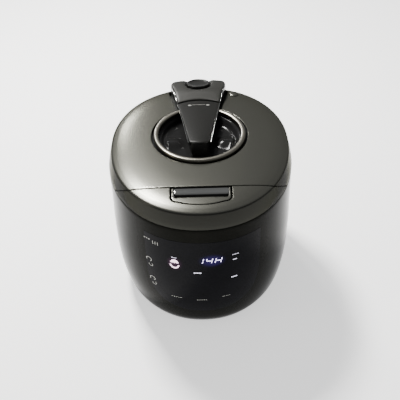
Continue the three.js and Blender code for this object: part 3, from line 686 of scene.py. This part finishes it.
def exhaust_bump():
    low, high = span("exhaust_cap")
    cx, cy, r, top = (low.x + high.x) / 2, (low.y + high.y) / 2, (high.x - low.x) / 2, high.z - 0.1
    crown = smooth_curve([(0, top), (0.45 * r, top - 0.2), (0.75 * r, top - 0.9), (0.93 * r, top - 2.2),
                          (r, top - 4.4)], 4)
    mesh = lathe("bump", crown + [(r, top - 6), (0, top - 6)], 48, cx, cy)
    piece("exhaust_bump", mesh, LACQUER, "lid", ["exhaust_cap"])


def ring_and_bowl():
    r, z, low, inner = RING_R, RING_HIGH.z, RING_LOW.z, RING_R - 7.4
    profile = [(inner, low + 0.1), (r, low + 0.1), (r, z - 2.2), (r - 0.15, z - 1.5), (r - 0.6, z - 0.8),
               (r - 1.3, z - 0.3), (r - 2.2, z - 0.05), (r - 4.0, z - 0.05), (r - 5.8, z - 0.35),
               (r - 6.7, z - 0.9), (r - 7.2, z - 1.7), (inner, z - 3.0)]
    piece("ring_trim", lathe("ring", profile, 192), SILVER, "lid", ["lid_ring"], sharp=40)
    f = BOWL_Z
    inside = [(12, f)] + smooth_curve(
        [(20, f), (40, f + 0.1), (47, f + 0.8), (51.5, f + 2.8), (54.2, f + 6.2)], 6)
    step = [(55.0, f + 7.6), (55.8, f + 8.0), (56.6, f + 8.5), (57.4, f + 9.2), (58.2, f + 9.4)]
    outer = [(72, f + 9.4), (72, f + 7.4), (59.2, f + 7.2), (56, f + 1.4), (49, f - 2.4), (12, f - 2.4)]
    mesh = lathe("bowl", inside + step + outer, 192)
    raise_lobes(mesh)
    piece("bowl", mesh, BOWL, "lid", ["lid_bowl"], sharp=50)


def raise_lobes(mesh):
    """Two smooth finger ramps in the bowl, one each side of the handle."""
    for v in mesh.vertices:
        x, y, z = v.co.x / MM, v.co.y / MM - AXIS_Y, v.co.z / MM
        r = math.hypot(x, y)
        if z < BOWL_Z - 0.2 or r > 52:
            continue
        angle = math.degrees(math.atan2(abs(x), -y))
        across = max(0.0, 1 - abs(angle - 82) / 28)
        along = max(0.0, min(1.0, (r - 20) / 14)) * max(0.0, min(1.0, (52 - r) / 6))
        ease = (3 * across ** 2 - 2 * across ** 3) * (3 * along ** 2 - 2 * along ** 3)
        v.co.z += 5.0 * ease * MM


def lid_button():
    mesh = prism("bezel", slot_outline(-2.2, -101), 206, 240)
    top = plan_loft("under_dome", [(150, 0), (LID_Z, 0)] + [(z - 0.9, i) for z, i in DOME[3:]],
                    closed=False)
    mesh = carve(mesh, [chord_region(True, -1.4), top], "INTERSECT")
    pocket = prism("pocket", rounded_rect(-36.4, 36.4, -126.2, -90, 3.5), 208, 260)
    stem_low, stem_high = span("button_spring")
    stem_y = (stem_low.y + stem_high.y) / 2
    stem_hole = lathe("stem_hole", [(0, 200), (2.4, 200), (2.4, 212), (0, 212)], 32, 0, stem_y)
    hook_room = box_mesh("hook_room", -31, -13, -118, -95, 200, 222)
    mesh = carve(mesh, [pocket, stem_hole, hook_room], bevel=0.4)
    piece("button_surround", mesh, LACQUER, "root", ["button_bezel"])
    tray = prism("tray", rounded_rect(-36.3, 36.3, -126.1, -90, 3.4), 212, 229.4)
    tray = carve(tray, [prism("tray_room", rounded_rect(-35.9, 35.9, -125.7, -80, 3.0), 200, 260),
                        chord_region(False, -1.4)])
    piece("button_tray", tray, DARK, "root")
    low, high = span("lid_button")
    y0, y1, z0, z1, half = low.y, high.y, 220.0, high.z, high.x
    skirt_z = z1 - 3.6
    # sections in (y, z): dark body, and the chrome cap with a hollowed top and a raised rear lip
    body = [(y0 + 1.2, z0), (y0 + 0.5, z0 + 2), (y0 + 0.4, skirt_z + 0.1), (y1 - 0.3, skirt_z + 0.1),
            (y1 - 0.3, z0)]
    cap = [(y0 + 0.2, skirt_z), (y0, z1 - 3), (y0 + 0.5, z1 - 1.9), (y0 + 1.5, z1 - 0.8),
           (y0 + 2.8, z1 - 0.5),
           (y0 + 4.5, z1 - 1.1), (y0 + 6.3, z1 - 1.3), (y0 + 7.9, z1 - 0.9), (y0 + 8.9, z1 - 0.2),
           (y1 - 0.8, z1),
           (y1 - 0.2, z1 - 0.6), (y1, z1 - 2), (y1, skirt_z)]

    def drawn(name, section, half):
        """Section drawn along X with eased ends."""
        cy = (y0 + y1) / 2
        mid = (section[0][1] + section[-1][1]) / 2
        ends = ((-half, 0.90), (-half + 0.5, 0.97), (-half + 1.4, 1.0), (half - 1.4, 1.0),
                (half - 0.5, 0.97),
                (half, 0.90))
        return loops_mesh(name, [[(x, cy + (y - cy) * k, mid + (z - mid) * k) for y, z in section]
                                 for x, k in ends])
    stem = lathe("stem", [(0, low.z), (1.8, low.z), (1.8, 222), (0, 222)], 32, 0, stem_y)
    piece("button_body", carve(drawn("body", body, half - 0.4), [stem], "UNION"), DARK, "button")
    piece("button_bar", drawn("bar", cap, half), CHROME, "button", ["lid_button"], sharp=50)


# ---------- handle and steam cap ----------
def round_section(half, top, bottom, crown=0.8, edge=1.6, steps=24):
    """Closed section in (x, z): flat underside, slightly crowned top, rounded top edges."""
    pts = [(-half, bottom), (-half, top - edge - crown)]
    for k in range(1, 6):
        a = math.radians(180 - 18 * k)
        pts.append((-half + edge + edge * math.cos(a), top - crown - edge + edge * math.sin(a)))
    inner = half - edge
    for k in range(1, steps):
        x = -inner + 2 * inner * k / steps
        pts.append((x, top - crown * (x / inner) ** 2))
    return pts + [(-x, z) for x, z in reversed(pts[:7])]


def handle_half(y):
    """Half width of the handle and cap at y: straight sides that widen to the rear."""
    return 15.0 + (y + 20) * 0.1625 if y < 80 else 31.25 + (y - 80) * 0.245


def handle_top(y):
    return HANDLE_TOP - 0.9 * max(0.0, (50 - y) / 70) ** 1.6


def grip():
    rear = lambda x, r: AXIS_Y + math.sqrt(r * r - x * x)
    front = HANDLE_FRONT
    loops = []
    ts = [0, 0.006, 0.02, 0.045] + [0.08 + 0.86 * i / 22 for i in range(23)] + [0.965, 0.985, 0.996, 1]
    for t in ts:
        y_mid = front + (AXIS_Y + HANDLE_R - front) * t
        pull = 1.3 * (max(0, 1 - t / 0.03) ** 2 + max(0, 1 - (1 - t) / 0.02) ** 2)
        half = handle_half(y_mid) - 0.3 - pull - 2.0 * max(0, 1 - t / 0.05) ** 2
        loop = []
        for x, z in round_section(half, handle_top(y_mid) - 0.8 * pull, HANDLE_UNDER + 0.4 * pull):
            loop.append((x, front + 1.2 * (x / half) ** 2 * (1 - t) + (rear(x, HANDLE_R) - front) * t, z))
        loops.append(loop)
    mesh = loops_mesh("grip", loops)
    web = []
    for z, y0, y1, half in ((221.4, -26, 45.6, 11.6), (223, -26.8, 46, 12.2), (228, -25.6, 47, 12.4),
                            (233, -23.4, 49, 12.5), (HANDLE_UNDER + 0.9, -19.6, 49.8, 12.6)):
        web.append([(x, y, z) for x, y in rounded_rect(-half, half, y0, y1, 4)])
    mesh = carve(mesh, [loops_mesh("web", web)], "UNION")
    piece("handle_grip", mesh, HANDLE, "handle", ["lid_handle"])


def edge_strip(name, side, y0, y1, top, out, body, replaces=()):
    """Fine chrome strip along one long edge of the handle or the cap."""
    loops = []
    for i in range(25):
        y = y0 + (y1 - y0) * i / 24
        x = side * (handle_half(y) + out)
        z = top(y)
        w, h = 0.55, 2.6
        loops.append([(x - w, y, z - h), (x + w, y, z - h), (x + w, y, z - 0.3), (x + 0.3, y, z),
                      (x - 0.3, y, z),
                      (x - w, y, z - 0.3)])
    piece(name, loops_mesh(name, loops), CHROME, body, replaces, sharp=60)


def cap_top(y):
    if y < CREST_Y:
        t = max(0.0, (y - 82) / (CREST_Y - 82))
        return HANDLE_TOP + 0.1 + (CREST_Z - HANDLE_TOP - 0.1) * (3 * t * t - 2 * t ** 3)
    return CREST_Z - CAP_FALL * (y - CREST_Y) + 0.4 * math.exp(-(y - CREST_Y) / 6) - 0.4


def cap_outline(grow=0.0):
    """Plan of the steam cap: concave front round the handle, sides widening, rounded rear."""
    half_front = handle_half(80) + grow
    front = [(x, AXIS_Y + math.sqrt((CAP_R - grow) ** 2 - x * x))
             for x in [half_front * (1 - 2 * i / 24) for i in range(25)]]
    left = [(-handle_half(y) - grow, y) for y in (88, 100, 112, 126)]
    corner = [(-handle_half(126) - grow + 6 * (1 - math.cos(a)), 126 + 10 * math.sin(a))
              for a in [math.radians(18 * k) for k in range(1, 6)]]
    x0, y0 = corner[-1]
    rear = [(x0 + (-2 * x0) * t, y0 + 5 * 4 * t * (1 - t)) for t in [i / 20 for i in range(1, 20)]]
    return front + left + corner + rear + [(-x, y) for x, y in reversed(left + corner)]


def steam_cap():
    outline = cap_outline(-0.2)
    cx, cy = 0.0, 112.0

    def ring(shrink, z_of):
        pts = []
        for x, y in outline:
            d = math.hypot(x - cx, y - cy)
            k = max(0.0, 1 - shrink / d)
            px, py = cx + (x - cx) * k, cy + (y - cy) * k
            pts.append((px, py, z_of(px, py)))
        return pts

    def crown(x, y):
        t = min(1.0, max(0.0, (abs(x) - 12) / 12))
        shoulder = (3 * t * t - 2 * t ** 3) * CAP_FALL * 0.6 * max(0.0, y - CREST_Y)
        return cap_top(y) + shoulder - 0.5 * (x / 41) ** 6

    def skirt(x, y):
        return max(WELL_Z + 0.8, dome_height(x, y) + 0.5)
    loops = [ring(1.6, skirt), ring(0.0, skirt)]
    for shrink, drop in ((0.1, 4.0), (0.25, 1.6), (0.7, 0.8), (1.3, 0.3), (2.2, 0.05)):
        loops.append(ring(shrink, lambda x, y, d=drop: crown(x, y) - d))
    for shrink in (5, 9, 13, 17, 21, 26, 31):
        loops.append(ring(shrink, crown))
    mesh = loops_mesh("cap", loops)
    well = lathe("well", [(0, -2.2), (20.4, -2.2), (21.6, 14), (0, 14)], 96, 0, 0)
    well.transform(disc_place())
    mesh = carve(mesh, [well], bevel=0.5)
    piece("cap_shell", mesh, SATIN, "steam_cap_body", ["steam_cap"], sharp=45)


def dome_height(x, y):
    """Height of the lid's dome, or of the channel floor inside the channel."""
    inside = y < 127 and abs(x) < 31.5 + (y - 62) * 13 / 60
    if inside:
        return WELL_Z
    depth = BACK if y > 0 else FRONT
    rho = (abs(x / HALF) ** PLAN_POWER + abs(y / depth) ** PLAN_POWER) ** (1 / PLAN_POWER)
    inset = (1 - rho) * 140
    for (z0, i0), (z1, i1) in zip(DOME[3:], DOME[4:]):
        if i0 <= inset <= i1:
            return z0 + (z1 - z0) * (inset - i0) / max(i1 - i0, 1e-6)
    return LID_Z if inset < 0 else DOME_Z


def disc_place():
    """Place of the round disc on the sloping rear of the cap."""
    low, high = span("steam_cap_disc")
    cy = (low.y + high.y) / 2
    cz = CREST_Z - CAP_FALL * (cy - CREST_Y) - 0.4
    return Matrix.Translation((0, cy * MM, cz * MM)) @ Matrix.Rotation(-math.atan(CAP_FALL), 4, "X")


def cap_disc():
    top = smooth_curve([(0, 1.5), (8, 1.7), (13, 2.4), (15.4, 3.3), (16.6, 3.5), (17.7, 3.1), (18.2, 2.0)],
                       5)
    mesh = lathe("disc", top + [(18.2, -2.6), (0, -2.6)], 96, 0, 0)
    mesh.transform(disc_place())
    piece("cap_button", mesh, HANDLE, "steam_cap_body", ["steam_cap_disc"])


def lock_icon():
    """Generic open and closed mark near the handle's rear: a line with a blob at each end."""
    def on_top(x, y, lift):
        half = handle_half(y) - 1.9
        return (x, y, handle_top(y) - 0.8 * (x / half) ** 2 + lift)
    for name, x in (("left", -13.5), ("right", 13.5)):
        outline = [(x + 2.6 * math.cos(a), 72 + 1.5 * math.sin(a)) for a in [TAU * i / 20 for i in range(20)]]
        mesh = loops_mesh("mark", [[on_top(px, py, -0.1) for px, py in outline],
                                   [on_top(px, py, 0.12) for px, py in outline]])
        piece(f"lock_mark_{name}", mesh, FAINT, "handle")
    outline = [(-9.5, 72.9), (9.5, 72.9), (9.5, 73.4), (-9.5, 73.4)]
    mesh = loops_mesh("line", [[on_top(px, py, -0.15) for px, py in outline],
                               [on_top(px, py, 0.12) for px, py in outline]])
    piece("lock_mark_line", mesh, FAINT, "handle")


# ---------- inside of the lid and the body ----------
def pot_and_cover():
    r, low, rim = POT_HIGH.x - 9.8, POT_LOW.z, POT_HIGH.z
    t = 2.5
    outer = [(0, low)] + smooth_curve(
        [(r - 24, low), (r - 10, low + 3), (r - 2.5, low + 12), (r, low + 24)], 6)
    lip = [(r, 195.6), (97.7, 195.6), (98, 196.2), (98, rim - 0.8), (97.4, rim), (r - t + 0.8, rim),
           (r - t, rim - 0.9)]
    inner = smooth_curve([(r - t, low + 24), (r - t - 2.4, low + 13.5), (r - t - 10, low + 5.5),
                          (r - t - 22, low + t)], 6) + [(0, low + t)]
    pot = lathe("pot", outer + lip + inner, 144)
    lugs = [lug(60 * i, 96.5, 100.8, 195.65, 198.6) for i in range(6)]
    piece("pot", carve(pot, lugs, "UNION"), POT, "root", ["inner_pot"])
    cover = [(0, 201.3)] + smooth_curve([(60, 201.3), (84, 201.4), (89.4, 201.8), (90.3, 203.2)], 4) + [
        (90.5, 204.3), (98, 204.3), (98, 205.1), (89.6, 205.1), (89.2, 202.4), (0, 202.4)]
    piece("pressure_cover", lathe("cover", cover, 144), STEEL, "lid", ["inner_cover"], sharp=40)
    seal = [(90.9, 200.5), (92, 200.3), (94, 201.2), (96.6, 200.4), (97.6, 201.4), (97.6, 203.6),
            (96.8, 204),
            (91.2, 204), (90.8, 203)]
    piece("seal", lathe("seal", seal, 144), SILICONE, "lid", ["gasket"])


def lug(degrees, r0, r1, z0, z1):
    a0, a1 = degrees - 12, degrees + 12
    outline = arc(0, AXIS_Y, r1, a0, a1, 12) + arc(0, AXIS_Y, r0, a1, a0, 12)
    return prism("lug", outline, z0, z1)


def lock_ring():
    skirt = [(101.6, 190.2), (102.2, 189.7), (103.4, 189.7), (104, 190.4), (104, 206.6), (103.4, 207.4),
             (96, 207.4),
             (96, 205.6), (101, 205.6), (101.6, 205)]
    ring = lathe("lock", skirt, 144)
    parts = [lug(60 * i + 30, 98.9, 102.4, 189.7, 192.6) for i in range(6)]
    parts.append(lathe("hub", [(10.4, 205.6), (17, 205.6), (17, 207.4), (10.4, 207.4)], 64))
    for degrees in (30, 150, 270):
        arm = prism("arm", [(15, -8), (98, -8), (98, 8), (15, 8)], 205.65, 207.35)
        turn = Matrix.Translation((0, AXIS_Y * MM, 0)) @ Matrix.Rotation(math.radians(degrees), 4, "Z")
        arm.transform(turn)
        parts.append(arm)
    piece("locking_ring", carve(ring, parts, "UNION"), STEEL, "handle", ["lock_ring"])


def collar_and_liner():
    deck = plan_loft("deck", [(198.8, 4.2), (198.8, 3.8), (201.5, 3.8), (201.8, 4.2)], closed=False)
    deck = carve(deck, [lathe("hole", [(0, 180), (108.4, 180), (108.4, 215), (0, 215)], 144)])
    skirt = lathe("skirt",
                  [(107.2, 187), (109.6, 187), (109.6, 201.5), (108.8, 201.8), (107.8, 201.7),
                   (107.2, 201)],
                  144)
    deck = carve(deck, [skirt], "UNION")
    deck = carve(deck, [box_mesh("notch", -49.8, 49.8, 98, 160, 180, 215)])
    piece("collar", deck, DARK, "root", ["top_collar"])
    liner = [(80, 60), (96, 60), (97, 61), (97, 184), (105.2, 184), (105.2, 186), (97.6, 186), (97, 186.8),
             (97, 194.2), (96.4, 194.6), (95, 194.6), (94.5, 194), (94.5, 63), (93.5, 62), (80, 62)]
    piece("liner", lathe("liner", liner, 144), ALUMINIUM, "root", ["cavity_liner"])


def inner_plate():
    outer = [(203.6, 4.4), (206, 4.6), (210.6, 5.8), (210.8, 6.4)]
    plate = plan_loft("plate", outer, closed=False)
    plate = carve(plate, [plan_loft("hollow", [(202, 7.4), (208.3, 7.4)], closed=False)])
    plate = carve(plate, [chord_region(False, 1.5)], "INTERSECT")
    rim = carve(plan_loft("rim", [(200, -2), (215, -2)], closed=False),
                [plan_loft("core", [(199, 10), (216, 10)],
                                                                                 closed=False)])
    plate = carve(plate, [carve(rim, [chord_region(True, 1.5, SPLIT_LEAN)], "INTERSECT")])
    wall = carve(chord_region(False, 1.5), [chord_region(False, 3.6)])
    wall = carve(wall, [plan_loft("room", [(203.6, 10.3), (222.5, 10.3)], closed=False)], "INTERSECT")
    posts = [lathe("post", [(0, 202.5), (4.4, 202.5), (5, 203.2), (5, 209.5), (0, 209.5)], 32,
                   70 * math.cos(a), AXIS_Y + 70 * math.sin(a)) for a in (-2.618, -0.5236)]
    plate = carve(plate, [wall] + posts, "UNION")
    vent_low, vent_high = span("vent_pipe")
    vent_y = (vent_low.y + vent_high.y) / 2
    holes = [lathe("shaft_hole", [(0, 190), (12, 190), (12, 215), (0, 215)], 64),
             lathe("vent_hole", [(0, 190), (6, 190), (6, 215), (0, 215)], 32, 0, vent_y),
             box_mesh("hinge_room", -40, 40, 118, 160, 190, 208.2),
             box_mesh("catch_room", -35, -9, -108.8, -103.6, 209.1, 216.6)]
    piece("lid_underside", carve(plate, holes), DARK, "lid", ["lid_inner_plate"])


def rear_parts():
    low, high = span("dew_collector")
    outline = []
    for x in [low.x + 3 + (high.x - low.x - 6) * i / 24 for i in range(25)]:
        outline.append((x, plan_y(x, -1.0, False) + 0.6))
    back = arc(high.x - 8, high.y - 8, 8, 0, 90, 8) + arc(low.x + 8, high.y - 8, 8, 90, 180, 8)
    ring = outline + back
    mesh = prism("cup", ring, low.z, high.z)
    inner = [(x * 0.93, y - 2.2 if y > 155 else y + (2.4 if y < 152 else 0)) for x, y in ring]
    mesh = carve(mesh, [prism("hollow", inner, low.z + 2.5, high.z + 5)], bevel=0.7, angle=50)
    piece("dew_cup", mesh, BOWL, "dew_cup", ["dew_collector"])
    hinge_low, hinge_high = span("hinge_pin")
    hy, hz = (hinge_low.y + hinge_high.y) / 2, (hinge_low.z + hinge_high.z) / 2
    half = span("hinge_cover")[1].x

    def around_x(points, x0, x1):
        loops = [[(x, hy + y, hz + z) for y, z in points] for x in (x0, x1)]
        return loops_mesh("turned", loops)
    sector = arc(0, 0, 20.4, -35, 35, 20) + arc(0, 0, 17.8, 35, -35, 20)
    cover = around_x(sector, -half, half)
    parts = []
    for x0, x1 in ((-half, -13), (13, half)):
        parts.append(around_x(arc(0, 0, 10, 0, 354, 59), x0, x1))
        parts.append(box_mesh("web", x0, x1, hy + 8, hy + 19, hz - 3, hz + 3))
        parts.append(box_mesh("neck", x0, x1, hy - 6, hy + 6, hz + 6, 208))
    cover = carve(cover, parts, "UNION")
    cover = carve(cover, [around_x(arc(0, 0, 3.4, 0, 350, 35), -half - 5, half + 5)], bevel=0.4, angle=50)
    piece("hinge_housing", cover, BLACK, "lid", ["hinge_cover"])


# ---------- carried-over CAD nodes ----------
NODE_LOOKS = {
    "cap_well": SATIN, "display_module": DARK, "power_inlet": DARK, "fan_frame": DARK, "fan_rotor": DARK,
    "lid_catch": PLAIN_STEEL, "latch_hook": PLAIN_STEEL, "hook_pin": PLAIN_STEEL, "vent_pipe": PLAIN_STEEL,
    "pressure_weight": PLAIN_STEEL, "handle_shaft": PLAIN_STEEL, "hinge_pin": PLAIN_STEEL,
    "hinge_bracket_left": PLAIN_STEEL, "hinge_bracket_right": PLAIN_STEEL, "hinge_spring": PLAIN_STEEL,
    "button_spring": PLAIN_STEEL, "sensor_spring": PLAIN_STEEL, "temperature_sensor": ALUMINIUM,
    "heat_sink": ALUMINIUM, "coil_carrier": CARRIER, "induction_coil": COPPER, "power_board": BOARD,
    "control_board": BOARD,
}


def dress_nodes():
    looks = dict(NODE_LOOKS)
    looks.update({f"ferrite_bar_{i}": FERRITE for i in range(1, 7)})
    for name, mat in looks.items():
        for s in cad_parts[name].material_slots:
            s.material = mat


def floor():
    mat = material("pale_floor", (0.90, 0.90, 0.90), 0.8, 0.0, tint=0.01, mottle=3, Specular_IOR_Level=0.1,
                   Emission_Color=(1, 1, 1, 1), Emission_Strength=0.9)
    h = FLOOR_HALF
    mesh = mesh_from("floor", [(-h, -h, 0), (h, -h, 0), (h, h, 0), (-h, h, 0)], [(0, 1, 2, 3)])
    mesh.materials.append(mat)
    obj = bpy.data.objects.new("floor", mesh)
    bpy.context.scene.collection.objects.link(obj)


make_camera()
make_lights()
floor()
outer_body()
control_panel()
panel_graphics()
base_and_feet()
fascia()
lid_shell()
exhaust_bump()
ring_and_bowl()
lid_button()
grip()
for hand, sign in (("left", -1), ("right", 1)):
    edge_strip(f"handle_edge_{hand}", sign, *HANDLE_STRIP, lambda y: handle_top(y) - 0.4, 0.55,
               "handle", [f"handle_trim_{hand}"])
steam_cap()
for hand, sign in (("left", -1), ("right", 1)):
    edge_strip(f"cap_edge_{hand}", sign, *CAP_STRIP, lambda y: cap_top(y) - 1.0, 0.3, "steam_cap_body")
cap_disc()
lock_icon()
pot_and_cover()
lock_ring()
collar_and_liner()
inner_plate()
rear_parts()
dress_nodes()
